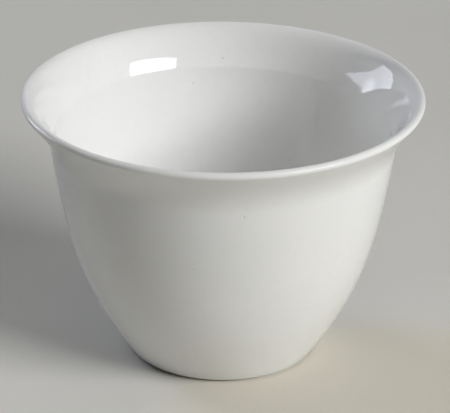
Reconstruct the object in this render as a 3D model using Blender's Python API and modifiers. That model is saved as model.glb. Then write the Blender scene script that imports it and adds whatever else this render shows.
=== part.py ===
"""Plain white porcelain sake cup with a flared lip.

Metres, +Z up. The cup stands on z = 0 with its axis on Z. It is a fired porcelain body, one coat of
glaze over all of it but the foot, and a patch of the same glaze inside the foot recess. Each piece is
a turned section: its points run from the axis up the inside, over the lip and down the outside.
"""

import math

import bpy
from mathutils import Vector

# Outside of the finished cup
RIM_DIAMETER = 0.0660
CUP_HEIGHT = 0.0453
FOOT_DIAMETER = 0.0316

# Wall: its lean from the vertical at both ends, and its thickness there
FOOT_LEAN = math.radians(34.8)
NECK_LEAN = math.radians(8.3)
FOOT_WALL = 0.0026
NECK_WALL = 0.00104

# Shape of the wall's curve: the share of its chord along which each end holds its lean
FOOT_HOLD = 0.37
NECK_HOLD = 0.45

# Flared lip, measured from the rim: where its outside and its inside leave the wall, and its edge
LIP_DEPTH = 0.0088
LIP_OVERHANG = 0.00455
RIDGE_DEPTH = 0.0067
LIP_EDGE = 0.0013

# Shape of the lip: its lean above the inner ridge, on top of the rim and under the rim
LIP_ROOT_LEAN = math.radians(24.5)
LIP_TOP_LEAN = math.radians(74.0)
LIP_UNDER_LEAN = math.radians(38.0)

# Shape of the lip: the share of the chord along which each end holds its lean, and the rounding of
# the inner ridge, as its reach to either side
LIP_ROOT_HOLD = 0.36
LIP_TOP_HOLD = 0.24
LIP_UNDER_HOLD = 0.30
RIDGE_BLEND = 0.00028

# Bottom
FLOOR_THICKNESS = 0.0028
BOWL_CORNER_HEIGHT = 0.0065
FOOT_RECESS_DEPTH = 0.0020
FOOT_RING_WIDTH = 0.0032
FOOT_EDGE_RADIUS = 0.0008
RING_INNER_RADIUS = 0.0004
RECESS_FILLET = 0.0008

# Shape of the bowl's bottom: the share of each side of its corner that stays flat or straight
FLOOR_HOLD = 0.62
CORNER_HOLD = 0.55

# Glaze: its thickness, the line where it meets the body, and where it stops above the table
GLAZE_THICKNESS = 0.00025
BOND_GAP = 0.00005
GLAZE_STOP = 0.0005

# Fineness of the turned sections
TURN_STEPS = 48
WALL_STEPS = 9
BOWL_STEPS = 6
BLEND_STEPS = 3
LIP_STEPS = 7
EDGE_STEPS = 8
FILLET_STEPS = 3

CUP_NAME = "sake_cup"
PORCELAIN_COLOUR = (0.80, 0.775, 0.73, 1.0)
PORCELAIN_ROUGHNESS = 0.6
GLAZE_COLOUR = (0.86, 0.86, 0.84, 1.0)
GLAZE_ROUGHNESS = 0.08
RECESS_ROUGHNESS = 0.12


def up_lean(lean):
    """Direction that rises while leaning outward by an angle from the vertical."""
    return Vector((math.sin(lean), math.cos(lean)))


def bezier(start, start_pull, end_pull, end, steps):
    """Points of a cubic curve, both ends included."""
    points = []
    for i in range(steps + 1):
        t = i / steps
        s = 1.0 - t
        points.append(s**3 * start + 3 * s * s * t * start_pull + 3 * s * t * t * end_pull + t**3 * end)
    return points


def arc(centre, radius, start, end, steps):
    """Points of an arc between two angles, both ends included."""
    angles = [start + (end - start) * i / steps for i in range(steps + 1)]
    return [centre + radius * Vector((math.cos(a), math.sin(a))) for a in angles]


def blend(before, corner, after, reach):
    """Curve that rounds a corner, from a reach before it to a reach after it."""
    start = corner + reach * (before - corner).normalized()
    end = corner + reach * (after - corner).normalized()
    return bezier(start, start.lerp(corner, 2 / 3), end.lerp(corner, 2 / 3), end, BLEND_STEPS)


def left_of(way):
    """Normal on the left of a direction, which is the open side of every section here."""
    return Vector((-way.y, way.x)).normalized()


def inset(points, depth):
    """Section moved into the material by a depth. An end on the axis stays on it."""
    normals = [left_of(b - a) for a, b in zip(points, points[1:])]
    moved = []
    for i, point in enumerate(points):
        before = normals[max(i - 1, 0)]
        after = normals[min(i, len(normals) - 1)]
        moved.append(point - depth * (before + after) / (1.0 + before.dot(after)))
        if point.x == 0.0:
            moved[-1] = Vector((0.0, point.y - depth * math.copysign(1.0, before.y + after.y)))
    return moved


def outer_wall():
    """Outside of the wall, from the lip's corner down to the table."""
    top = Vector((RIM_DIAMETER / 2 - LIP_OVERHANG, CUP_HEIGHT - LIP_DEPTH))
    foot = Vector((FOOT_DIAMETER / 2, 0.0))
    chord = (top - foot).length
    top_pull = top - NECK_HOLD * chord * up_lean(NECK_LEAN)
    foot_pull = foot + FOOT_HOLD * chord * up_lean(FOOT_LEAN)
    return bezier(top, top_pull, foot_pull, foot, WALL_STEPS)


def inner_wall(outside):
    """Inside of the wall, from the bowl's bottom to the neck: the outside less a wall that thins upward."""
    inside = [outside[0] + NECK_WALL * left_of(up_lean(NECK_LEAN))]
    for before, point, after in zip(outside, outside[1:], outside[2:]):
        wall = FOOT_WALL + (NECK_WALL - FOOT_WALL) * point.y / outside[0].y
        inside.append(point - wall * left_of(after - before))
    lowest = FOOT_RECESS_DEPTH + FLOOR_THICKNESS + BOWL_CORNER_HEIGHT
    return [point for point in reversed(inside) if point.y > lowest]


def bowl_bottom(wall):
    """Inside bottom, from the axis to the foot of the inner wall."""
    centre = Vector((0.0, FOOT_RECESS_DEPTH + FLOOR_THICKNESS))
    end = wall[0]
    way = (wall[1] - wall[0]).normalized()
    corner = Vector((end.x - way.x * (end.y - centre.y) / way.y, centre.y))
    return bezier(centre, centre.lerp(corner, FLOOR_HOLD), end.lerp(corner, CORNER_HOLD), end, BOWL_STEPS)


def held_curve(start, start_lean, start_hold, end, end_lean, end_hold):
    """One side of the lip: a curve that holds a lean for a share of its chord at each end."""
    chord = (end - start).length
    start_pull = start + start_hold * chord * up_lean(start_lean)
    end_pull = end - end_hold * chord * up_lean(end_lean)
    return bezier(start, start_pull, end_pull, end, LIP_STEPS)


def cup_section():
    """Finished surface, from the axis up the inside, over the lip and down to where the glaze stops."""
    outside = outer_wall()
    inside = inner_wall(outside)
    edge_radius = LIP_EDGE / 2
    edge_centre = Vector((RIM_DIAMETER / 2 - edge_radius, CUP_HEIGHT - edge_radius))
    edge = arc(edge_centre, edge_radius, math.pi - LIP_TOP_LEAN, -LIP_UNDER_LEAN, EDGE_STEPS)
    ridge_height = CUP_HEIGHT - RIDGE_DEPTH
    ridge = inside[-1] + (ridge_height - inside[-1].y) / math.cos(NECK_LEAN) * up_lean(NECK_LEAN)
    kept_inside = [p for p in inside if p.y < ridge_height - RIDGE_BLEND]
    lip_inside = held_curve(ridge, LIP_ROOT_LEAN, LIP_ROOT_HOLD, edge[0], LIP_TOP_LEAN, LIP_TOP_HOLD)
    ridge_curve = blend(kept_inside[-1], ridge, lip_inside[1], RIDGE_BLEND)
    lip_outside = held_curve(outside[0], NECK_LEAN, LIP_ROOT_HOLD, edge[-1], LIP_UNDER_LEAN, LIP_UNDER_HOLD)
    kept_outside = [p for p in outside if p.y > GLAZE_STOP]
    stop = outside[-1] + GLAZE_STOP / math.cos(FOOT_LEAN) * up_lean(FOOT_LEAN)
    inner_half = bowl_bottom(kept_inside) + kept_inside[1:] + ridge_curve + lip_inside[1:]
    outer_half = edge[1:-1] + lip_outside[::-1] + kept_outside[1:] + [stop]
    return inner_half + outer_half


def recess_section():
    """Finished surface inside the foot ring, from where its glaze starts up to the axis."""
    side = FOOT_DIAMETER / 2 - FOOT_RING_WIDTH
    corner = Vector((side - RECESS_FILLET, FOOT_RECESS_DEPTH - RECESS_FILLET))
    fillet = arc(corner, RECESS_FILLET, 0.0, math.pi / 2, FILLET_STEPS)
    return [Vector((side, GLAZE_STOP))] + fillet + [Vector((0.0, FOOT_RECESS_DEPTH))]


def foot_section(depth):
    """Bare foot edge and bearing face of the body, which lies a depth inside the finished surface."""
    wall_corner = FOOT_DIAMETER / 2 - depth / math.cos(FOOT_LEAN)
    turn = math.pi / 2 - FOOT_LEAN
    outer_centre = Vector((wall_corner - FOOT_EDGE_RADIUS * math.tan(turn / 2), FOOT_EDGE_RADIUS))
    side = FOOT_DIAMETER / 2 - FOOT_RING_WIDTH + depth
    inner_centre = Vector((side + RING_INNER_RADIUS, RING_INNER_RADIUS))
    outer = arc(outer_centre, FOOT_EDGE_RADIUS, -FOOT_LEAN, -math.pi / 2, FILLET_STEPS)
    inner = arc(inner_centre, RING_INNER_RADIUS, -math.pi / 2, -math.pi, FILLET_STEPS)
    return outer + inner


def coat(section):
    """Layer of glaze under a finished surface, as a section whose ends are both on the axis."""
    under = inset(section, GLAZE_THICKNESS)[::-1]
    return section + under if section[0].x == 0.0 else under + section


def body_section():
    """Porcelain body: the finished surfaces less the glaze and its bond, joined round the bare foot."""
    depth = GLAZE_THICKNESS + BOND_GAP
    return inset(cup_section(), depth) + foot_section(depth) + inset(recess_section(), depth)


def material(name, colour, roughness):
    """Principled material of one piece."""
    made = bpy.data.materials.new(name)
    made.use_nodes = True
    shader = made.node_tree.nodes["Principled BSDF"]
    shader.inputs["Base Color"].default_value = colour
    shader.inputs["Roughness"].default_value = roughness
    shader.inputs["Metallic"].default_value = 0.0
    return made


def turned(name, section, skin, collection, parent):
    """Object made by turning a section, which starts and ends on the axis, about Z."""
    edges = [(i, i + 1) for i in range(len(section) - 1)]
    mesh = bpy.data.meshes.new(name)
    mesh.from_pydata([(p.x, 0.0, p.y) for p in section], edges, [])
    mesh.materials.append(skin)
    piece = bpy.data.objects.new(name, mesh)
    collection.objects.link(piece)
    piece.parent = parent
    screw = piece.modifiers.new("turn", "SCREW")
    screw.steps = TURN_STEPS
    screw.render_steps = TURN_STEPS
    screw.use_merge_vertices = True
    screw.merge_threshold = 1e-6
    screw.use_smooth_shade = True
    return piece


def main():
    """Builds the cup from an empty scene."""
    for old in list(bpy.data.objects):
        bpy.data.objects.remove(old, do_unlink=True)
    cup = bpy.data.collections.new(CUP_NAME)
    bpy.context.scene.collection.children.link(cup)
    stand = bpy.data.objects.new(CUP_NAME, None)
    cup.objects.link(stand)
    porcelain = material("bare_porcelain", PORCELAIN_COLOUR, PORCELAIN_ROUGHNESS)
    glaze = material("cup_glaze", GLAZE_COLOUR, GLAZE_ROUGHNESS)
    recess_glaze = material("recess_glaze", GLAZE_COLOUR, RECESS_ROUGHNESS)
    turned("porcelain_body", body_section(), porcelain, cup, stand)
    turned("glaze_coat", coat(cup_section()), glaze, cup, stand)
    turned("foot_recess_glaze", coat(recess_section()), recess_glaze, cup, stand)


main()
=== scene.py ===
"""Looks of a plain white porcelain sake cup with a flared lip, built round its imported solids.

The cup is turned from the same section as its solids, only finer: a fired body that shows at the
bare foot ring, one coat of glaze over the rest, and a patch of glaze inside the foot recess. It
stands on a pale table under three soft lamps, with lit sheets that only its gloss shows. Metres,
+Z up, the cup's axis on Z.
"""

import logging
import math
from collections.abc import Iterable, Mapping, Sequence
from dataclasses import dataclass, field
from enum import Enum
from typing import Any

import bpy
from mathutils import Euler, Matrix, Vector


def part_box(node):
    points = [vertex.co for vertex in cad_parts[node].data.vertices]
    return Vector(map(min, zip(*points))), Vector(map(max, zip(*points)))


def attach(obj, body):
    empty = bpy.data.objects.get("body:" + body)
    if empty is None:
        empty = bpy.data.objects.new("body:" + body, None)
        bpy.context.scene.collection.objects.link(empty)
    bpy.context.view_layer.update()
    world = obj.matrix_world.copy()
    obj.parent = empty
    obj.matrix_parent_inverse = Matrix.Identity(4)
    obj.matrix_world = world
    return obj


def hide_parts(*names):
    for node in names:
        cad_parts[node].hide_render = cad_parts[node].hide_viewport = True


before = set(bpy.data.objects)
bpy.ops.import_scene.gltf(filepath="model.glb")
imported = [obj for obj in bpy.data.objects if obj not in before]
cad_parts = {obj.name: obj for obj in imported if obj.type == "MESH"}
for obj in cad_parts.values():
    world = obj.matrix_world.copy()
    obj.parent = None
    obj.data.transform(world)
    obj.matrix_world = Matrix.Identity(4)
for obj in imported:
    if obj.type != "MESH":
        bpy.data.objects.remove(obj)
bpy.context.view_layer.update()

log = logging.getLogger("sake_cup")

Colour = tuple[float, float, float]
Place = tuple[float, float, float]
Span = tuple[float, float]
Section = list[Vector]
Socket = bpy.types.NodeSocket
Feeds = Mapping[str | int, Any]

CUP_BODY = "root"
MILLIMETRE = 0.001
LAMP_AIM = Vector((0.0, 0.0, 0.035))

# Places of the sockets on a mix node that mixes colours.
MIX_SHARE, MIX_UNDER, MIX_OVER, MIX_RESULT = 0, 6, 7, 2


class Skin(Enum):
    """The materials of the cup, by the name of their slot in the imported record."""

    BARE_PORCELAIN = "bare_porcelain"
    CUP_GLAZE = "cup_glaze"
    RECESS_GLAZE = "recess_glaze"


class Blemish(Enum):
    """What a small mark in the glaze is, with its colour."""

    IRON = (0.30, 0.26, 0.21)
    PINHOLE = (0.52, 0.51, 0.48)


def up_lean(lean: float) -> Vector:
    """Direction that rises while leaning outward by an angle from the vertical."""
    return Vector((math.sin(lean), math.cos(lean)))


def left_of(way: Vector) -> Vector:
    """Normal on the left of a direction, which is the open side of every section here."""
    return Vector((-way.y, way.x)).normalized()


def bezier(start: Vector, start_pull: Vector, end_pull: Vector, end: Vector, steps: int) -> Section:
    """Points of a cubic curve, both ends included.

    Args:
        start: First point.
        start_pull: Control point of the start.
        end_pull: Control point of the end.
        end: Last point.
        steps: Number of stretches.

    Returns:
        The points in order.
    """
    points = []
    for i in range(steps + 1):
        t = i / steps
        s = 1.0 - t
        points.append(s**3 * start + 3 * s * s * t * start_pull + 3 * s * t * t * end_pull + t**3 * end)
    return points


def arc(centre: Vector, radius: float, start: float, end: float, steps: int) -> Section:
    """Points of an arc between two angles, both ends included.

    Args:
        centre: Centre of the arc.
        radius: Its radius.
        start: Angle of the first point.
        end: Angle of the last point.
        steps: Number of stretches.

    Returns:
        The points in order.
    """
    angles = [start + (end - start) * i / steps for i in range(steps + 1)]
    return [centre + radius * Vector((math.cos(a), math.sin(a))) for a in angles]


def inset(points: Section, depth: float) -> Section:
    """Section moved into the material by a depth, with an end on the axis kept on it.

    Args:
        points: The section, with the open side on its left.
        depth: How far it moves.

    Returns:
        The moved section.
    """
    normals = [left_of(b - a) for a, b in zip(points, points[1:])]
    moved = []
    for i, point in enumerate(points):
        before = normals[max(i - 1, 0)]
        after = normals[min(i, len(normals) - 1)]
        moved.append(point - depth * (before + after) / (1.0 + before.dot(after)))
        if point.x == 0.0:
            moved[-1] = Vector((0.0, point.y - depth * math.copysign(1.0, before.y + after.y)))
    return moved


def put_in_scene(name: str, data: bpy.types.ID) -> bpy.types.Object:
    """New object in the scene, at the origin.

    Args:
        name: Name of the object.
        data: Its mesh, light or camera.

    Returns:
        The object.
    """
    made = bpy.data.objects.new(name, data)
    bpy.context.scene.collection.objects.link(made)
    return made


@dataclass(frozen=True)
class CupSizes:
    """Sizes of the finished cup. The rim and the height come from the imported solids."""

    rim_diameter: float
    height: float
    foot_diameter: float = 0.0316
    foot_lean: float = math.radians(34.8)
    neck_lean: float = math.radians(8.3)
    foot_wall: float = 0.0026
    neck_wall: float = 0.00104
    foot_hold: float = 0.37
    neck_hold: float = 0.45
    lip_depth: float = 0.0088
    lip_overhang: float = 0.00455
    ridge_depth: float = 0.0067
    lip_edge: float = 0.0013
    lip_root_lean: float = math.radians(24.5)
    lip_top_lean: float = math.radians(74.0)
    lip_under_lean: float = math.radians(38.0)
    lip_root_hold: float = 0.36
    lip_top_hold: float = 0.24
    lip_under_hold: float = 0.30
    ridge_blend: float = 0.00028
    floor_thickness: float = 0.0028
    bowl_corner_height: float = 0.0065
    recess_depth: float = 0.0020
    ring_width: float = 0.0032
    foot_edge_radius: float = 0.0008
    ring_inner_radius: float = 0.0004
    recess_fillet: float = 0.0008
    floor_hold: float = 0.62
    corner_hold: float = 0.55
    glaze_thickness: float = 0.00025
    bond_gap: float = 0.00005
    glaze_stop: float = 0.0005

    @classmethod
    def from_frame(cls) -> "CupSizes":
        """Sizes with the rim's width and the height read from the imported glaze."""
        low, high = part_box("glaze_coat")
        return cls(rim_diameter=high.x - low.x, height=high.z)


@dataclass
class CupSection:
    """The turned sections of the cup: points run up the inside, over the lip and down the outside."""

    sizes: CupSizes
    wall_steps: int = 44
    bowl_steps: int = 30
    ridge_steps: int = 8
    ridge_pull: float = 2 / 3
    ridge_clear: float = 1.2
    lip_steps: int = 32
    edge_steps: int = 20
    fillet_steps: int = 8

    def outer_wall(self) -> Section:
        """Outside of the wall, from the neck down to the table."""
        s = self.sizes
        top = Vector((s.rim_diameter / 2 - s.lip_overhang, s.height - s.lip_depth))
        foot = Vector((s.foot_diameter / 2, 0.0))
        chord = (top - foot).length
        top_pull = top - s.neck_hold * chord * up_lean(s.neck_lean)
        foot_pull = foot + s.foot_hold * chord * up_lean(s.foot_lean)
        return bezier(top, top_pull, foot_pull, foot, self.wall_steps)

    def inner_wall(self, outside: Section) -> Section:
        """Inside of the wall, which thins upward.

        Args:
            outside: The outer wall, from the neck down.

        Returns:
            The inner wall, from the bowl's bottom up to the neck.
        """
        s = self.sizes
        inside = [outside[0] + s.neck_wall * left_of(up_lean(s.neck_lean))]
        for before, point, after in zip(outside, outside[1:], outside[2:]):
            wall = s.foot_wall + (s.neck_wall - s.foot_wall) * point.y / outside[0].y
            inside.append(point - wall * left_of(after - before))
        lowest = s.recess_depth + s.floor_thickness + s.bowl_corner_height
        return [point for point in reversed(inside) if point.y > lowest]

    def bowl_bottom(self, wall: Section) -> Section:
        """Inside bottom, from the axis to the foot of the inner wall.

        Args:
            wall: The inner wall, from the bottom up.

        Returns:
            The bottom's points, the last of them the wall's first.
        """
        s = self.sizes
        centre = Vector((0.0, s.recess_depth + s.floor_thickness))
        way = (wall[1] - wall[0]).normalized()
        corner = Vector((wall[0].x - way.x * (wall[0].y - centre.y) / way.y, centre.y))
        floor_pull = centre.lerp(corner, s.floor_hold)
        wall_pull = wall[0].lerp(corner, s.corner_hold)
        return bezier(centre, floor_pull, wall_pull, wall[0], self.bowl_steps)

    def lip_side(self, start: Vector, lean: float, end: Vector, end_lean: float, end_hold: float) -> Section:
        """One side of the lip: a curve that holds a lean for a share of its chord at each end.

        Args:
            start: Where it leaves the wall.
            lean: Its lean there.
            end: Where it meets the edge of the rim.
            end_lean: Its lean there.
            end_hold: Share of the chord along which the end holds its lean.

        Returns:
            The points from the wall to the rim.
        """
        chord = (end - start).length
        start_pull = start + self.sizes.lip_root_hold * chord * up_lean(lean)
        end_pull = end - end_hold * chord * up_lean(end_lean)
        return bezier(start, start_pull, end_pull, end, self.lip_steps)

    def ridge(self, below: Vector, corner: Vector, lip: Section) -> Section:
        """Rounding of the inner ridge, and the lip from there on.

        Args:
            below: A point of the wall below the ridge.
            corner: The sharp ridge.
            lip: Inside of the lip, which starts at the ridge.

        Returns:
            The rounding, and the lip's points above it.
        """
        reach = self.sizes.ridge_blend
        start = corner + reach * (below - corner).normalized()
        end = corner + reach * (lip[1] - corner).normalized()
        pulls = [point.lerp(corner, self.ridge_pull) for point in (start, end)]
        rounding = bezier(start, *pulls, end, self.ridge_steps)
        return rounding + [p for p in lip if (p - corner).length > reach * self.ridge_clear]

    def finished(self) -> Section:
        """Glazed surface, from the axis up the inside, over the lip and down to where the glaze stops."""
        s = self.sizes
        outside = self.outer_wall()
        inside = self.inner_wall(outside)
        radius = s.lip_edge / 2
        centre = Vector((s.rim_diameter / 2 - radius, s.height - radius))
        edge = arc(centre, radius, math.pi - s.lip_top_lean, -s.lip_under_lean, self.edge_steps)
        ridge_height = s.height - s.ridge_depth
        rise = (ridge_height - inside[-1].y) / math.cos(s.neck_lean)
        corner = inside[-1] + rise * up_lean(s.neck_lean)
        kept_inside = [p for p in inside if p.y < ridge_height - s.ridge_blend]
        lip_inside = self.lip_side(corner, s.lip_root_lean, edge[0], s.lip_top_lean, s.lip_top_hold)
        lip_outside = self.lip_side(outside[0], s.neck_lean, edge[-1], s.lip_under_lean, s.lip_under_hold)
        kept_outside = [p for p in outside if p.y > s.glaze_stop]
        stop = outside[-1] + s.glaze_stop / math.cos(s.foot_lean) * up_lean(s.foot_lean)
        bowl = self.bowl_bottom(kept_inside) + kept_inside[1:]
        rim = self.ridge(inside[-1], corner, lip_inside) + edge[1:-1] + lip_outside[::-1]
        return bowl + rim + kept_outside[1:] + [stop]

    def recess(self) -> Section:
        """Glazed surface inside the foot ring, from where its glaze starts up to the axis."""
        s = self.sizes
        side = s.foot_diameter / 2 - s.ring_width
        corner = Vector((side - s.recess_fillet, s.recess_depth - s.recess_fillet))
        fillet = arc(corner, s.recess_fillet, 0.0, math.pi / 2, self.fillet_steps)
        return [Vector((side, s.glaze_stop))] + fillet + [Vector((0.0, s.recess_depth))]

    def foot(self, depth: float) -> Section:
        """Bare foot edge and bearing face of the body.

        Args:
            depth: How far the body lies inside the glazed surface.

        Returns:
            The points from the outer edge of the foot to the recess.
        """
        s = self.sizes
        wall_corner = s.foot_diameter / 2 - depth / math.cos(s.foot_lean)
        turn = math.pi / 2 - s.foot_lean
        radius = s.foot_edge_radius
        outer_centre = Vector((wall_corner - radius * math.tan(turn / 2), radius))
        side = s.foot_diameter / 2 - s.ring_width + depth
        inner_centre = Vector((side + s.ring_inner_radius, s.ring_inner_radius))
        outer = arc(outer_centre, radius, -s.foot_lean, -math.pi / 2, self.fillet_steps)
        return outer + arc(inner_centre, s.ring_inner_radius, -math.pi / 2, -math.pi, self.fillet_steps)

    def coat(self, surface: Section) -> Section:
        """Layer of glaze under a glazed surface, with both ends on the axis.

        Args:
            surface: The glazed surface.

        Returns:
            The layer's section.
        """
        under = inset(surface, self.sizes.glaze_thickness)[::-1]
        return surface + under if surface[0].x == 0.0 else under + surface

    def body(self) -> Section:
        """Fired body: the glazed surfaces less the glaze and its bond, joined round the bare foot."""
        depth = self.sizes.glaze_thickness + self.sizes.bond_gap
        return inset(self.finished(), depth) + self.foot(depth) + inset(self.recess(), depth)


@dataclass
class NodeSheet:
    """A node tree with short ways to add and join nodes."""

    tree: bpy.types.NodeTree

    def add(self, kind: str, feeds: Feeds | None = None, **settings: Any) -> bpy.types.Node:
        """New node with its settings and inputs.

        Args:
            kind: Blender's name of the node type.
            feeds: Outputs or plain values for its inputs, by their names or places.
            settings: Properties to set on it.

        Returns:
            The node.
        """
        node = self.tree.nodes.new(kind)
        for name, value in settings.items():
            setattr(node, name, value)
        self.feed(node, feeds or {})
        return node

    def feed(self, node: bpy.types.Node, feeds: Feeds) -> None:
        """Joins outputs to a node's inputs, or sets the inputs to plain values.

        Args:
            node: The node.
            feeds: Outputs or plain values, by the names or places of the inputs.
        """
        for key, value in feeds.items():
            if isinstance(value, Socket):
                self.tree.links.new(value, node.inputs[key])
            else:
                node.inputs[key].default_value = value

    def maths(self, operation: str, first: Any, second: Any = 0.0, kind: str = "ShaderNodeMath") -> Socket:
        """Result of an arithmetic node.

        Args:
            operation: Blender's name of the operation.
            first: First output or number.
            second: Second output or number.
            kind: The node's type, for whole numbers or decimals.

        Returns:
            The node's output.
        """
        return self.add(kind, {0: first, 1: second}, operation=operation).outputs[0]

    def split(self, vector: Socket) -> Sequence[Socket]:
        """The three parts of a vector."""
        return self.add("ShaderNodeSeparateXYZ", {0: vector}).outputs


@dataclass
class Lathe:
    """Turns a section about Z with one Geometry Nodes tree, shared by all pieces of the cup."""

    turn_steps: int = 256
    seam_weld: float = 1e-6
    crease_angle: float = math.radians(40.0)
    tree: bpy.types.NodeTree = field(init=False)

    def __post_init__(self) -> None:
        """Builds the tree once."""
        self.tree = bpy.data.node_groups.new("lathe", "GeometryNodeTree")
        self.make_sockets()
        self.make_nodes()

    def make_sockets(self) -> None:
        """Names the tree's inputs and its output."""
        inputs = {
            "Section": "Geometry",
            "Turn Steps": "Int",
            "Seam Weld": "Float",
            "Crease Angle": "Float",
            "Finish": "Material",
        }
        for name, kind in inputs.items():
            self.tree.interface.new_socket(name, in_out="INPUT", socket_type=f"NodeSocket{kind}")
        self.tree.interface.new_socket("Piece", in_out="OUTPUT", socket_type="NodeSocketGeometry")

    def make_nodes(self) -> None:
        """Joins the steps of the lathe, from the section to the dressed piece."""
        sheet = NodeSheet(self.tree)
        given = sheet.add("NodeGroupInput").outputs
        turned = self.turned_grid(sheet, given)
        weld = {"Geometry": turned, "Distance": given["Seam Weld"]}
        welded = sheet.add("GeometryNodeMergeByDistance", weld).outputs[0]
        creased = self.creased(sheet, welded, given["Crease Angle"])
        real = sheet.add("GeometryNodeRealizeInstances", {"Geometry": creased}).outputs[0]
        dress = {"Geometry": real, "Material": given["Finish"]}
        sheet.add("NodeGroupOutput", {"Piece": sheet.add("GeometryNodeSetMaterial", dress).outputs[0]})

    def turned_grid(self, sheet: NodeSheet, given: Mapping[str, Socket]) -> Socket:
        """Grid of section points by turn steps, laid round the axis.

        Args:
            sheet: The tree's nodes.
            given: The tree's inputs.

        Returns:
            The turned mesh, with an open seam.
        """
        whole = "FunctionNodeIntegerMath"
        section = given["Section"]
        rows = sheet.add("GeometryNodeAttributeDomainSize", {"Geometry": section}).outputs["Point Count"]
        columns = sheet.maths("ADD", given["Turn Steps"], 1, whole)
        grid = sheet.add("GeometryNodeMeshGrid", {"Vertices X": rows, "Vertices Y": columns})
        index = sheet.add("GeometryNodeInputIndex").outputs[0]
        row = sheet.maths("DIVIDE_FLOOR", index, columns, whole)
        column = sheet.maths("MODULO", index, columns, whole)
        position = sheet.add("GeometryNodeInputPosition").outputs[0]
        look_up = {"Geometry": section, "Value": position, "Index": row}
        point = sheet.add("GeometryNodeSampleIndex", look_up, data_type="FLOAT_VECTOR", domain="POINT")
        radius, _, height = sheet.split(point.outputs["Value"])
        share = sheet.maths("DIVIDE", column, given["Turn Steps"])
        angle = sheet.maths("MULTIPLY", share, 2 * math.pi)
        across = sheet.maths("MULTIPLY", radius, sheet.maths("COSINE", angle))
        along = sheet.maths("MULTIPLY", radius, sheet.maths("SINE", angle))
        place = sheet.add("ShaderNodeCombineXYZ", {0: across, 1: along, 2: height})
        move = {"Geometry": grid.outputs["Mesh"], "Position": place.outputs[0]}
        return sheet.add("GeometryNodeSetPosition", move).outputs[0]

    def creased(self, sheet: NodeSheet, mesh: Socket, limit: Socket) -> Socket:
        """Mesh that is shaded smooth, but for edges that bend more than a limit.

        Args:
            sheet: The tree's nodes.
            mesh: The mesh.
            limit: The largest smooth bend.

        Returns:
            The shaded mesh.
        """
        bend = sheet.add("GeometryNodeInputMeshEdgeAngle").outputs["Unsigned Angle"]
        compare = {0: bend, 1: limit}
        sharp = sheet.add("FunctionNodeCompare", compare, data_type="FLOAT", operation="GREATER_THAN")
        smooth = sheet.add("GeometryNodeSetShadeSmooth", {"Geometry": mesh}, domain="FACE")
        crease = {"Geometry": smooth.outputs[0], "Selection": sharp.outputs[0], "Shade Smooth": False}
        return sheet.add("GeometryNodeSetShadeSmooth", crease, domain="EDGE").outputs[0]

    def turn(self, name: str, section: Section, finish: bpy.types.Material) -> bpy.types.Object:
        """One piece, turned and made a plain mesh.

        Args:
            name: Name of the piece.
            section: Its section, with the open side on the left and both ends on the axis.
            finish: Its material.

        Returns:
            The piece, at the origin.
        """
        line = bpy.data.meshes.new(f"{name}_section")
        stretches = [(i, i + 1) for i in range(len(section) - 1)]
        line.from_pydata([(p.x, 0.0, p.y) for p in section], stretches, [])
        piece = put_in_scene(name, line)
        turning = piece.modifiers.new("turn", "NODES")
        turning.node_group = self.tree
        wanted = {
            "Turn Steps": self.turn_steps,
            "Seam Weld": self.seam_weld,
            "Crease Angle": self.crease_angle,
            "Finish": finish,
        }
        for socket in self.tree.interface.items_tree:
            if socket.name in wanted:
                turning[socket.identifier] = wanted[socket.name]
        mesh = bpy.data.meshes.new_from_object(piece.evaluated_get(bpy.context.evaluated_depsgraph_get()))
        mesh.name = name
        piece.modifiers.remove(turning)
        piece.data = mesh
        bpy.data.meshes.remove(line)
        return piece


@dataclass(frozen=True)
class GlazeMark:
    """A small mark in the glaze, by where it lies round the axis, its height and its width."""

    turn_deg: float
    radius_mm: float
    height_mm: float
    width_mm: float
    kind: Blemish

    def place(self) -> Vector:
        """Point of the cup at the middle of the mark."""
        turn = math.radians(self.turn_deg)
        across, along = self.radius_mm * math.cos(turn), self.radius_mm * math.sin(turn)
        return Vector((across, along, self.height_mm)) * MILLIMETRE

    def edge(self, inner: float, outer: float) -> Span:
        """Distances from its middle, as shares of its width, between which the mark fades."""
        return self.width_mm * MILLIMETRE * inner, self.width_mm * MILLIMETRE * outer


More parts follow.
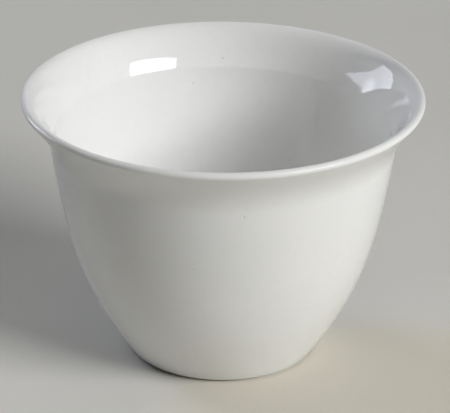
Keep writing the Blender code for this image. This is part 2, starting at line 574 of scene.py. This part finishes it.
class Finish:
    """Shared ways to lay a procedural material."""

    name: str

    def lay(self) -> bpy.types.Material:
        """The finish as a material, which each finish lays in its own way."""
        raise NotImplementedError

    def start(self) -> tuple[bpy.types.Material, NodeSheet, bpy.types.Node, Socket]:
        """New material with its node sheet, its shader and the piece's own coordinates."""
        made = bpy.data.materials.new(self.name)
        made.use_nodes = True
        sheet = NodeSheet(made.node_tree)
        shader = made.node_tree.nodes["Principled BSDF"]
        return made, sheet, shader, sheet.add("ShaderNodeTexCoord").outputs["Object"]

    def noise(self, sheet: NodeSheet, place: Socket, scale: float, detail: float = 2.0) -> Socket:
        """Soft noise about one half.

        Args:
            sheet: The material's nodes.
            place: Coordinates to read.
            scale: Spots per metre.
            detail: Number of finer layers.

        Returns:
            The noise's value.
        """
        return sheet.add("ShaderNodeTexNoise", {"Vector": place, "Scale": scale, "Detail": detail}).outputs[0]

    def away(self, sheet: NodeSheet, place: Socket, middle: Vector | Place) -> Socket:
        """Distance from a point.

        Args:
            sheet: The material's nodes.
            place: Coordinates to read.
            middle: The point.

        Returns:
            The distance in metres.
        """
        return sheet.add("ShaderNodeVectorMath", {0: place, 1: middle}, operation="DISTANCE").outputs["Value"]

    def ramp(self, sheet: NodeSheet, value: Socket, band: Span, result: Span) -> Socket:
        """Value carried from one range to another, with soft ends.

        Args:
            sheet: The material's nodes.
            value: The value to carry.
            band: The range that it is read in.
            result: What the band's two ends become.

        Returns:
            The result.
        """
        feeds = dict(enumerate((value, *band, *result)))
        return sheet.add("ShaderNodeMapRange", feeds, interpolation_type="SMOOTHSTEP").outputs[0]

    def blend(self, sheet: NodeSheet, share: Socket, under: Socket | Colour, over: Socket | Colour) -> Socket:
        """Mix of two colours.

        Args:
            sheet: The material's nodes.
            share: Share of the second colour.
            under: First colour.
            over: Second colour.

        Returns:
            The mixed colour.
        """
        feeds = {MIX_SHARE: share}
        for key, colour in ((MIX_UNDER, under), (MIX_OVER, over)):
            feeds[key] = colour if isinstance(colour, Socket) else (*colour, 1.0)
        return sheet.add("ShaderNodeMix", feeds, data_type="RGBA").outputs[MIX_RESULT]

    def shine(self, sheet: NodeSheet, shader: bpy.types.Node, colour: Colour, level: Socket) -> None:
        """Makes the surface give off light and nothing else.

        Args:
            sheet: The material's nodes.
            shader: The material's shader.
            colour: Colour of the light.
            level: Its brightness.
        """
        sheet.feed(shader, {"Base Color": (0.0, 0.0, 0.0, 1.0), "Specular IOR Level": 0.0})
        sheet.feed(shader, {"Emission Color": (*colour, 1.0), "Emission Strength": level})

    def dent(self, sheet: NodeSheet, height: Socket, depth: float, below: Socket | None = None) -> Socket:
        """Surface relief.

        Args:
            sheet: The material's nodes.
            height: Relief from 0 to 1.
            depth: Depth of the relief in metres.
            below: Normal of a coarser relief under it.

        Returns:
            The bent normal.
        """
        node = sheet.add("ShaderNodeBump", {"Strength": 1.0, "Distance": depth, "Height": height})
        if below is not None:
            sheet.feed(node, {"Normal": below})
        return node.outputs[0]


@dataclass(frozen=True)
class GlazeFinish(Finish):
    """Clear glossy glaze on white porcelain, with faint clouds, turning rings and small marks."""

    name: str
    white: Colour = (0.895, 0.895, 0.88)
    cloud: Colour = (0.87, 0.876, 0.866)
    cloud_scale: float = 60.0
    cloud_band: Span = (0.35, 0.7)
    cloud_share: float = 0.8
    mottle_scale: float = 900.0
    mottle_band: Span = (0.4, 0.75)
    mottle_share: float = 0.10
    pool: Colour = (0.74, 0.785, 0.775)
    pool_top: float = 0.0028
    pool_share: float = 0.55
    gloss: Span = (0.02, 0.05)
    gloss_scale: float = 140.0
    gloss_band: Span = (0.3, 0.7)
    ior: float = 1.5
    ring_scale: float = 330.0
    ring_stretch: Place = (0.12, 0.12, 1.0)
    ring_depth: float = 1.6e-5
    peel_scale: float = 520.0
    peel_depth: float = 7e-6
    marks: tuple[GlazeMark, ...] = ()
    mark_edge: Span = (0.25, 0.75)
    mark_share: float = 0.18
    pit_depth: float = 0.05 * MILLIMETRE

    def lay(self) -> bpy.types.Material:
        """The glaze as a material."""
        made, sheet, shader, place = self.start()
        height = sheet.split(place)[2]
        clouds = self.noise(sheet, place, self.cloud_scale)
        share = self.ramp(sheet, clouds, self.cloud_band, (0.0, self.cloud_share))
        tone = self.blend(sheet, share, self.white, self.cloud)
        mottle = self.noise(sheet, place, self.mottle_scale, detail=3.0)
        share = self.ramp(sheet, mottle, self.mottle_band, (0.0, self.mottle_share))
        tone = self.blend(sheet, share, tone, self.pool)
        share = self.ramp(sheet, height, (0.0, self.pool_top), (self.pool_share, 0.0))
        tone = self.blend(sheet, share, tone, self.pool)
        pits = None
        for mark in self.marks:
            tone, pits = self.spot(sheet, place, mark, tone, pits)
        smear = self.noise(sheet, place, self.gloss_scale)
        roughness = self.ramp(sheet, smear, self.gloss_band, self.gloss)
        sheet.feed(shader, {"Base Color": tone, "Roughness": roughness, "IOR": self.ior})
        sheet.feed(shader, {"Normal": self.relief(sheet, place, pits)})
        return made

    def spot(
        self, sheet: NodeSheet, place: Socket, mark: GlazeMark, tone: Socket, pits: Socket | None
    ) -> tuple[Socket, Socket]:
        """Adds one mark to the colour and to the relief.

        Args:
            sheet: The material's nodes.
            place: Coordinates to read.
            mark: The mark.
            tone: Colour so far.
            pits: Relief so far, or nothing.

        Returns:
            The colour and the relief with the mark.
        """
        away = self.away(sheet, place, mark.place())
        near = self.ramp(sheet, away, mark.edge(*self.mark_edge), (1.0, 0.0))
        tone = self.blend(sheet, sheet.maths("MULTIPLY", near, self.mark_share), tone, mark.kind.value)
        return tone, near if pits is None else sheet.maths("MAXIMUM", pits, near)

    def relief(self, sheet: NodeSheet, place: Socket, pits: Socket | None) -> Socket:
        """Turning rings, the fine skin of the glaze over them, and the pits of the marks.

        Args:
            sheet: The material's nodes.
            place: Coordinates to read.
            pits: Relief of the marks, if there are any.

        Returns:
            The bent normal.
        """
        stretch = sheet.add("ShaderNodeMapping", {"Vector": place, "Scale": self.ring_stretch})
        rings = self.noise(sheet, stretch.outputs[0], self.ring_scale, detail=1.0)
        normal = self.dent(sheet, rings, self.ring_depth)
        normal = self.dent(sheet, self.noise(sheet, place, self.peel_scale), self.peel_depth, normal)
        if pits is None:
            return normal
        return self.dent(sheet, sheet.maths("SUBTRACT", 1.0, pits), self.pit_depth, normal)


@dataclass(frozen=True)
class BareFinish(Finish):
    """Fired porcelain without glaze: matt, slightly warm, with fine grain and a blush at the glaze line."""

    name: str
    clay: Colour = (0.80, 0.775, 0.73)
    shade: Colour = (0.71, 0.675, 0.62)
    cloud_scale: float = 240.0
    cloud_band: Span = (0.35, 0.7)
    cloud_share: float = 0.7
    blush: Colour = (0.76, 0.60, 0.46)
    blush_line: Span = (0.00018, 0.00062)
    blush_share: float = 0.6
    grit: Colour = (0.36, 0.30, 0.25)
    grit_scale: float = 620.0
    grit_size: Span = (0.08, 0.16)
    grit_share: float = 0.7
    grain_scale: float = 3800.0
    grain_band: Span = (0.3, 0.7)
    grain_depth: float = 1.2e-5
    roughness: Span = (0.55, 0.8)

    def lay(self) -> bpy.types.Material:
        """The bare porcelain as a material."""
        made, sheet, shader, place = self.start()
        height = sheet.split(place)[2]
        clouds = self.noise(sheet, place, self.cloud_scale, detail=4.0)
        share = self.ramp(sheet, clouds, self.cloud_band, (0.0, self.cloud_share))
        tone = self.blend(sheet, share, self.clay, self.shade)
        share = self.ramp(sheet, height, self.blush_line, (0.0, self.blush_share))
        tone = self.blend(sheet, share, tone, self.blush)
        spots = sheet.add("ShaderNodeTexVoronoi", {"Vector": place, "Scale": self.grit_scale})
        share = self.ramp(sheet, spots.outputs[0], self.grit_size, (self.grit_share, 0.0))
        tone = self.blend(sheet, share, tone, self.grit)
        grain = self.noise(sheet, place, self.grain_scale, detail=3.0)
        roughness = self.ramp(sheet, grain, self.grain_band, self.roughness)
        normal = self.dent(sheet, grain, self.grain_depth)
        sheet.feed(shader, {"Base Color": tone, "Roughness": roughness, "Normal": normal})
        return made


@dataclass(frozen=True)
class TableFinish(Finish):
    """Pale matt table top with a faint grain, and a painted warm pool of light where the cup throws light
    back on it.
    """

    name: str = "pale_table"
    pale: Colour = (0.708, 0.696, 0.655)
    dusk: Colour = (0.683, 0.672, 0.633)
    cloud_scale: float = 22.0
    cloud_band: Span = (0.3, 0.7)
    # warm: painted light, a warm pool painted round a spot beside the cup where the cup throws light back on
    # the table
    warm: Colour = (0.735, 0.70, 0.611)
    painted_bounce_middle: Place = (0.030, -0.035, 0.0)
    painted_bounce_reach: Span = (0.033, 0.047)
    grain_scale: float = 900.0
    grain_band: Span = (0.45, 0.75)
    grain_share: float = 0.25
    grain_depth: float = 4e-5
    roughness: float = 0.8
    sheen: float = 0.1

    def lay(self) -> bpy.types.Material:
        """The table top as a material."""
        made, sheet, shader, place = self.start()
        clouds = self.noise(sheet, place, self.cloud_scale, detail=3.0)
        tone = self.blend(sheet, self.ramp(sheet, clouds, self.cloud_band, (0.0, 1.0)), self.pale, self.dusk)
        # Painted light: a warm pool painted round a spot beside the cup, where the cup throws light back on
        # the table.
        away = self.away(sheet, place, self.painted_bounce_middle)
        tone = self.blend(sheet, self.ramp(sheet, away, self.painted_bounce_reach, (1.0, 0.0)), tone, self.warm)
        grain = self.noise(sheet, place, self.grain_scale, detail=3.0)
        share = self.ramp(sheet, grain, self.grain_band, (0.0, self.grain_share))
        tone = self.blend(sheet, share, tone, self.dusk)
        normal = self.dent(sheet, grain, self.grain_depth)
        sheet.feed(shader, {"Base Color": tone, "Roughness": self.roughness, "Normal": normal})
        sheet.feed(shader, {"Specular IOR Level": self.sheen})
        return made


@dataclass
class SakeCup:
    """The cup: its body, its coat of glaze and the glaze inside its foot."""

    sizes: CupSizes
    lathe: Lathe
    glaze: GlazeFinish
    recess_glaze: GlazeFinish
    bare: BareFinish

    def build(self) -> list[bpy.types.Object]:
        """Turns, dresses and places all pieces.

        Returns:
            The pieces of the cup.
        """
        section = CupSection(self.sizes)
        coat = section.coat(section.finished())
        recess = section.coat(section.recess())
        return [
            self.piece("fired_body", section.body(), self.bare, Skin.BARE_PORCELAIN, "porcelain_body"),
            self.piece("glaze", coat, self.glaze, Skin.CUP_GLAZE, "glaze_coat"),
            self.piece("foot_glaze", recess, self.recess_glaze, Skin.RECESS_GLAZE, "foot_recess_glaze"),
        ]

    def piece(self, name: str, section: Section, finish: Finish, skin: Skin, node: str) -> bpy.types.Object:
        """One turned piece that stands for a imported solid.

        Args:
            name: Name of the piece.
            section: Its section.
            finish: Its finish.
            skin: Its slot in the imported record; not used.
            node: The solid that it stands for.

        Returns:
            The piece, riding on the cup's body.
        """
        made = self.lathe.turn(name, section, finish.lay())
        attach(made, CUP_BODY)
        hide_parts(node)
        log.info("%s: %d faces for %s", name, len(made.data.polygons), node)
        return made


def stage_mesh(
    name: str, corners: Sequence[Vector | Place], faces: Sequence[tuple[int, ...]], finish: Finish
) -> bpy.types.Object:
    """Mesh of the stage, which isn't part of the cup.

    Args:
        name: Name of the object.
        corners: Its corners.
        faces: Its faces, by the numbers of their corners.
        finish: Its finish.

    Returns:
        The object.
    """
    mesh = bpy.data.meshes.new(name)
    mesh.from_pydata(corners, [], faces)
    mesh.materials.append(finish.lay())
    made = put_in_scene(name, mesh)
    return made


@dataclass
class Table:
    """The table top that the cup stands on, which isn't part of the cup."""

    finish: TableFinish
    side: float = 1.2

    def build(self) -> bpy.types.Object:
        """Lays the table top.

        Returns:
            The table top.
        """
        half = self.side / 2
        corners = [(-half, -half, 0.0), (half, -half, 0.0), (half, half, 0.0), (-half, half, 0.0)]
        top = stage_mesh("table_top", corners, [(0, 1, 2, 3)], self.finish)
        log.info("table top: %.1f m square", self.side)
        return top


def way_to(turn_deg: float, rise_deg: float) -> Vector:
    """Direction from the cup, by its turn from the camera's side and its rise over the table."""
    turn, rise = math.radians(turn_deg), math.radians(rise_deg)
    return Vector((math.sin(turn) * math.cos(rise), -math.cos(turn) * math.cos(rise), math.sin(rise)))


@dataclass(frozen=True)
class Lamp:
    """A flat lamp aimed at the cup, placed by its direction from it. Gloss doesn't show it."""

    name: str
    turn_deg: float
    rise_deg: float
    away: float
    width: float
    height: float
    glow: float
    colour: Colour

    def hang(self) -> bpy.types.Object:
        """Hangs the lamp.

        Returns:
            The lamp, whose glow is its brightness per area and angle.
        """
        way = way_to(self.turn_deg, self.rise_deg)
        light = bpy.data.lights.new(self.name, "AREA")
        light.shape = "RECTANGLE"
        light.size = self.width
        light.size_y = self.height
        light.color = self.colour
        light.energy = self.glow * math.pi * self.width * self.height
        lamp = put_in_scene(self.name, light)
        lamp.location = LAMP_AIM + way * self.away
        lamp.rotation_euler = way.to_track_quat("Z", "Y").to_euler()
        lamp.visible_glossy = False
        return lamp


@dataclass(frozen=True)
class ClothGlow(Finish):
    """Lit cloth of a soft lamp, brighter round one spot."""

    name: str
    colour: Colour
    level: float
    spot_level: float = 0.0
    spot: Place = (0.0, 0.0, 0.0)
    spot_reach: float = 0.1

    def lay(self) -> bpy.types.Material:
        """The lit cloth as a material."""
        made, sheet, shader, place = self.start()
        away = self.away(sheet, place, self.spot)
        level = self.ramp(sheet, away, (0.0, self.spot_reach), (self.spot_level + self.level, self.level))
        self.shine(sheet, shader, self.colour, level)
        return made


@dataclass(frozen=True)
class WallGlow(Finish):
    """Lit wall that is brighter on the left and fades upward and round its ends."""

    name: str
    colour: Colour
    levels: Span
    half_width: float
    fade: Span
    end_fade: Span

    def lay(self) -> bpy.types.Material:
        """The lit wall as a material."""
        made, sheet, shader, place = self.start()
        across, along, height = sheet.split(place)
        level = self.ramp(sheet, across, (-self.half_width, self.half_width), self.levels)
        level = sheet.maths("MULTIPLY", level, self.ramp(sheet, height, self.fade, (1.0, 0.0)))
        level = sheet.maths("MULTIPLY", level, self.ramp(sheet, along, self.end_fade, (0.0, 1.0)))
        self.shine(sheet, shader, self.colour, level)
        return made


def show_in_gloss_only(sheet: bpy.types.Object) -> bpy.types.Object:
    """Keeps a lit sheet out of the picture, the shadows and the light on matt surfaces."""
    sheet.visible_camera = False
    sheet.visible_shadow = False
    sheet.visible_diffuse = False
    return sheet


@dataclass(frozen=True)
class GlowSheet:
    """A flat lit sheet round the cup, outlined by directions, which only gloss shows."""

    name: str
    outline: tuple[Span, ...]
    away: float
    finish: ClothGlow

    def hang(self) -> bpy.types.Object:
        """Hangs the sheet square to its middle direction.

        Returns:
            The sheet.
        """
        ways = [way_to(*corner) for corner in self.outline]
        middle = sum(ways, Vector()).normalized()
        corners = [LAMP_AIM + way * (self.away / way.dot(middle)) for way in ways]
        return show_in_gloss_only(stage_mesh(self.name, corners, [tuple(range(len(corners)))], self.finish))


@dataclass(frozen=True)
class BackWall:
    """A curved lit wall behind the cup, which only gloss shows."""

    name: str
    finish: WallGlow
    turns: Span = (95.0, 265.0)
    away: float = 1.6
    height: float = 1.25
    steps: int = 24

    def hang(self) -> bpy.types.Object:
        """Stands the wall on the table.

        Returns:
            The wall.
        """
        first, last = self.turns
        turns = [first + (last - first) * i / self.steps for i in range(self.steps + 1)]
        feet = [way_to(turn, 0.0) * self.away for turn in turns]
        rise = Vector((0.0, 0.0, self.height))
        corners = feet + [foot + rise for foot in feet]
        row = len(feet)
        faces = [(i, i + 1, row + i + 1, row + i) for i in range(self.steps)]
        return show_in_gloss_only(stage_mesh(self.name, corners, faces, self.finish))


@dataclass
class Studio:
    """Lamps, lit sheets and the light of the room."""

    lamps: Sequence[Lamp]
    sheets: Sequence[GlowSheet | BackWall]
    room: Colour = (0.43, 0.425, 0.405)
    room_share: float = 0.02
    room_rays: tuple[str, ...] = ("Is Camera Ray", "Is Glossy Ray", "Is Transmission Ray")

    def light(self) -> None:
        """Hangs the lamps and sheets, fills the room and sets a plain view."""
        for lamp in (*self.lamps, *self.sheets):
            lamp.hang()
        world = bpy.data.worlds.new("room")
        world.use_nodes = True
        sheet = NodeSheet(world.node_tree)
        rays = sheet.add("ShaderNodeLightPath").outputs
        level: Any = self.room_share
        for ray in self.room_rays:
            level = sheet.maths("MAXIMUM", level, rays[ray])
        sheet.feed(world.node_tree.nodes["Background"], {"Color": (*self.room, 1.0), "Strength": level})
        bpy.context.scene.world = world
        bpy.context.scene.view_settings.view_transform = "Standard"
        log.info("studio: %d lamps, %d lit sheets", len(self.lamps), len(self.sheets))


@dataclass(frozen=True)
class Camera:
    """The camera at the photograph's place."""

    place: Place = (0.0, -0.357839, 0.192243)
    tilt_deg: float = 64.8934
    roll_deg: float = -0.3852
    turn_deg: float = 0.1142
    lens_mm: float = 189.31
    sensor_mm: float = 36.0
    nearest: float = 0.01

    def stand(self) -> bpy.types.Object:
        """Sets the camera up.

        Returns:
            The camera.
        """
        lens = bpy.data.cameras.new("camera")
        lens.lens = self.lens_mm
        lens.sensor_width = self.sensor_mm
        lens.clip_start = self.nearest
        camera = put_in_scene("camera", lens)
        camera.location = self.place
        turns = [math.radians(a) for a in (self.tilt_deg, self.roll_deg, self.turn_deg)]
        camera.rotation_euler = Euler(turns, "XYZ")
        bpy.context.scene.camera = camera
        return camera


PLAIN_WHITE = (1.0, 1.0, 1.0)
DAYLIGHT = (0.94, 0.96, 1.07)
WALL_LIGHT = (0.97, 0.98, 1.04)

LAMPS = (
    Lamp(
        "key_lamp", turn_deg=57.0, rise_deg=28.5, away=1.60,
        width=0.78, height=0.55, glow=16.1, colour=(0.995, 0.998, 1.0),
    ),
    Lamp(
        "top_lamp", turn_deg=-60.0, rise_deg=80.0, away=1.20,
        width=0.80, height=0.80, glow=0.98, colour=(1.0, 0.985, 0.90),
    ),
    Lamp(
        "rear_lamp", turn_deg=-130.0, rise_deg=24.0, away=1.00,
        width=0.40, height=0.40, glow=6.6, colour=(0.832, 0.869, 1.0),
    ),
)

# Outlines of the flat lit sheets, as turns and rises of directions from the cup, in degrees.
KEY_FACE = (
    (69.5, 14.2), (69.0, 19.0), (67.0, 23.0), (60.4, 25.0), (49.5, 26.6),
    (37.5, 27.4), (33.0, 27.6), (36.5, 21.5), (41.0, 15.4), (51.3, 13.7),
)
UMBRELLA = (
    (-90.0, 16.8), (-99.0, 16.3), (-108.5, 16.9), (-114.0, 19.6), (-124.0, 27.6),
    (-129.6, 23.4), (-131.5, 15.4), (-132.5, 6.0), (-133.0, -2.0), (-124.0, -2.0),
    (-120.0, -2.0), (-114.0, 6.0), (-106.0, 10.3), (-97.0, 13.4),
)
UMBRELLA_AWAY = 1.0
UMBRELLA_SPOT = tuple(LAMP_AIM + way_to(-111.6, 6.8) * UMBRELLA_AWAY)
UMBRELLA_CLOTH = ClothGlow(
    "umbrella_cloth", DAYLIGHT, level=4.6, spot_level=4.0, spot=UMBRELLA_SPOT, spot_reach=0.14
)
LIT_WALL = WallGlow(
    "lit_wall", WALL_LIGHT, levels=(1.1, 0.15), half_width=1.3, fade=(0.55, 1.2), end_fade=(-0.1, 0.5)
)

SHEETS = (
    GlowSheet("key_face", KEY_FACE, 0.80, ClothGlow("key_cloth", PLAIN_WHITE, level=9.0)),
    GlowSheet("umbrella", UMBRELLA, UMBRELLA_AWAY, UMBRELLA_CLOTH),
    BackWall("back_wall", LIT_WALL),
)

MARKS = (
    GlazeMark(131.1, 31.48, 45.09, 0.36, Blemish.PINHOLE),
    GlazeMark(90.4, 28.19, 39.97, 0.42, Blemish.IRON),
    GlazeMark(101.4, 27.26, 35.81, 0.34, Blemish.PINHOLE),
    GlazeMark(61.5, 24.48, 23.49, 0.40, Blemish.IRON),
    GlazeMark(-99.7, 26.67, 25.95, 0.36, Blemish.PINHOLE),
    GlazeMark(-83.4, 28.37, 35.93, 0.36, Blemish.PINHOLE),
)
RECESS_POOL_TOP = 0.004


def main() -> None:
    """Builds the cup, its table, the lamps and the camera."""
    logging.basicConfig(level=logging.INFO, format="%(name)s: %(message)s")
    cup = SakeCup(
        CupSizes.from_frame(),
        Lathe(),
        GlazeFinish(name="cup_glaze_coat", marks=MARKS),
        GlazeFinish(name="foot_recess_coat", pool_top=RECESS_POOL_TOP),
        BareFinish(name="bare_foot"),
    )
    cup.build()
    Table(TableFinish()).build()
    Studio(LAMPS, SHEETS).light()
    Camera().stand()


if __name__ == "__main__":
    main()
